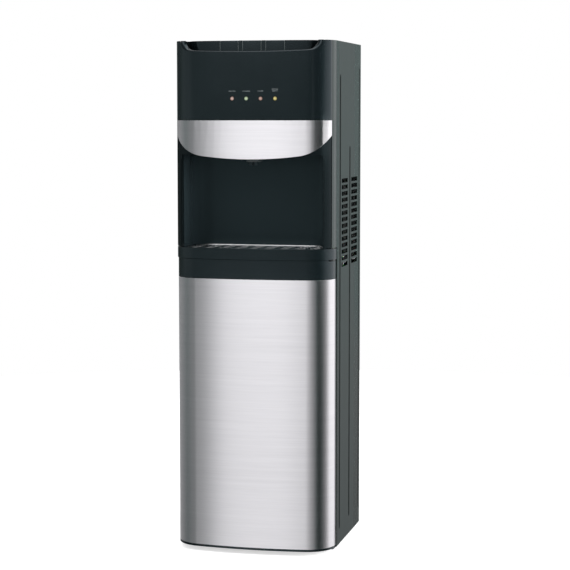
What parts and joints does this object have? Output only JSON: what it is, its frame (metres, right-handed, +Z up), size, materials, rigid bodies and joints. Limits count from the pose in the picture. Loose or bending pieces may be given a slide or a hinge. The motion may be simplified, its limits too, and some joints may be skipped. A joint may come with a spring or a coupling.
{
  "type": "water dispenser",
  "caption": "Tall bottom-loading water dispenser with a hinged steel-faced door, dispensing alcove, pull-out drip tray, push keys behind a scooped hood lip and a rear condenser.",
  "frame": {"origin": "on the floor, under the middle of the box round the cabinet", "axes": "+Z up, -Y out of the front (door, alcove and keys), +X to the right seen from the front"},
  "size_m": [0.332, 0.33, 1.04],
  "materials": {
    "black_gloss": "gloss moulded black",
    "black_satin": "satin moulded black",
    "steel_skin": "brushed across",
    "steel_grille": "pressed, bright edges",
    "side_grey": "semi-gloss grey",
    "zinc_sheet": "zinc-coated sheet",
    "stainless": "drawn stainless",
    "grey_plastic": "moulded grey",
    "rubber": "moulded",
    "copper": "drawn copper",
    "black_enamel": "baked black enamel",
    "white_plastic": "natural moulded",
    "foam": "expanded foam",
    "silicone": "food-grade hose",
    "circuit_board": "solder mask",
    "black_nylon": "moulded nylon",
    "spring_wire": "drawn wire",
    "ferrite": "sintered",
    "lens_red": "tinted lens",
    "lens_green": "tinted lens",
    "lens_amber": "tinted lens",
    "lens_yellow": "tinted lens",
    "rocker_red": "moulded red",
    "rocker_green": "moulded green"
  },
  "bodies": {
    "cabinet": {"alcove_liner": "black_satin", "back_panel": "zinc_sheet", "base_pan": "black_satin", "bottle_lamp": "lens_yellow", "bottle_pump": "black_nylon", "cold_key_spring": "spring_wire", "cold_tank": "stainless", "cold_tank_foam": "foam", "compressor": "black_enamel", "compressor_grommets": "rubber", "condenser_clips": "black_nylon", "condenser_tube": "black_enamel", "condenser_wires": "black_enamel", "control_board": "circuit_board", "cooling_lamp": "lens_green", "cord_gland": "black_nylon", "drain_spout": "white_plastic", "evaporator_coil": "copper", "feet": "rubber", "filter_drier": "copper", "heater_band": "stainless", "heating_lamp": "lens_red", "hot_key_spring": "spring_wire", "hot_tank": "stainless", "hot_tank_stand": "zinc_sheet", "key_switches": "black_nylon", "left_side_panel": "side_grey", "lower_hinge": "zinc_sheet", "machine_shelf": "zinc_sheet", "magnet_keeper": "zinc_sheet", "nozzle_block": "black_satin", "power_lamp": "lens_amber", "probe_cap": "white_plastic", "probe_holder": "white_plastic", "probe_tube": "white_plastic", "pump_hoses": "silicone", "refrigerant_pipes": "copper", "right_side_panel": "side_grey", "room_key_spring": "spring_wire", "spout_hoses": "silicone", "spouts": "grey_plastic", "steel_band": "steel_skin", "switch_frames": "black_nylon", "tank_cradle": "zinc_sheet", "top_hood": "black_gloss", "upper_hinge": "zinc_sheet"},
    "door": {"door_skin": "steel_skin", "door_core": "black_satin", "door_top_cap": "black_gloss", "door_bottom_cap": "black_gloss", "hinge_bushes": "black_nylon", "door_magnet": "ferrite"},
    "drip_tray": {"drip_tray": "black_gloss"},
    "drip_grille": {"drip_grille": "steel_grille"},
    "hot_key": {"hot_key": "black_gloss"},
    "room_key": {"room_key": "black_gloss"},
    "cold_key": {"cold_key": "black_gloss"},
    "heater_rocker": {"heater_rocker": "rocker_red"},
    "cooler_rocker": {"cooler_rocker": "rocker_green"},
    "drain_cap": {"drain_cap": "silicone"}
  },
  "joints": [
    {"name": "door_hinge", "type": "hinge", "parent": "cabinet", "child": "door", "pos_m": [0.1575, -0.10397, 0.3], "axis": [0, 0, 1], "range_deg": [0, 110]},
    {"name": "tray_slide", "type": "slide", "parent": "cabinet", "child": "drip_tray", "axis": [0, -1, 0], "range_m": [0, 0.14]},
    {"name": "grille_lift", "type": "slide", "parent": "drip_tray", "child": "drip_grille", "axis": [0, 0, 1], "range_m": [0, 0.08]},
    {"name": "hot_key_press", "type": "slide", "parent": "cabinet", "child": "hot_key", "axis": [0, 0, -1], "range_m": [0, 0.004], "stiffness_N_per_m": 300, "springref_m": -0.004, "deforming": ["hot_key_spring"]},
    {"name": "room_key_press", "type": "slide", "parent": "cabinet", "child": "room_key", "axis": [0, 0, -1], "range_m": [0, 0.004], "stiffness_N_per_m": 300, "springref_m": -0.004, "deforming": ["room_key_spring"]},
    {"name": "cold_key_press", "type": "slide", "parent": "cabinet", "child": "cold_key", "axis": [0, 0, -1], "range_m": [0, 0.004], "stiffness_N_per_m": 300, "springref_m": -0.004, "deforming": ["cold_key_spring"]},
    {"name": "heater_rocker_tip", "type": "hinge", "parent": "cabinet", "child": "heater_rocker", "pos_m": [0.084, 0.1397, 0.93], "axis": [1, 0, 0], "range_deg": [0, 18]},
    {"name": "cooler_rocker_tip", "type": "hinge", "parent": "cabinet", "child": "cooler_rocker", "pos_m": [0.116, 0.1397, 0.93], "axis": [1, 0, 0], "range_deg": [0, 18]},
    {"name": "drain_cap_pull", "type": "slide", "parent": "cabinet", "child": "drain_cap", "axis": [0, 1, 0], "range_m": [0, 0.03]}
  ]
}
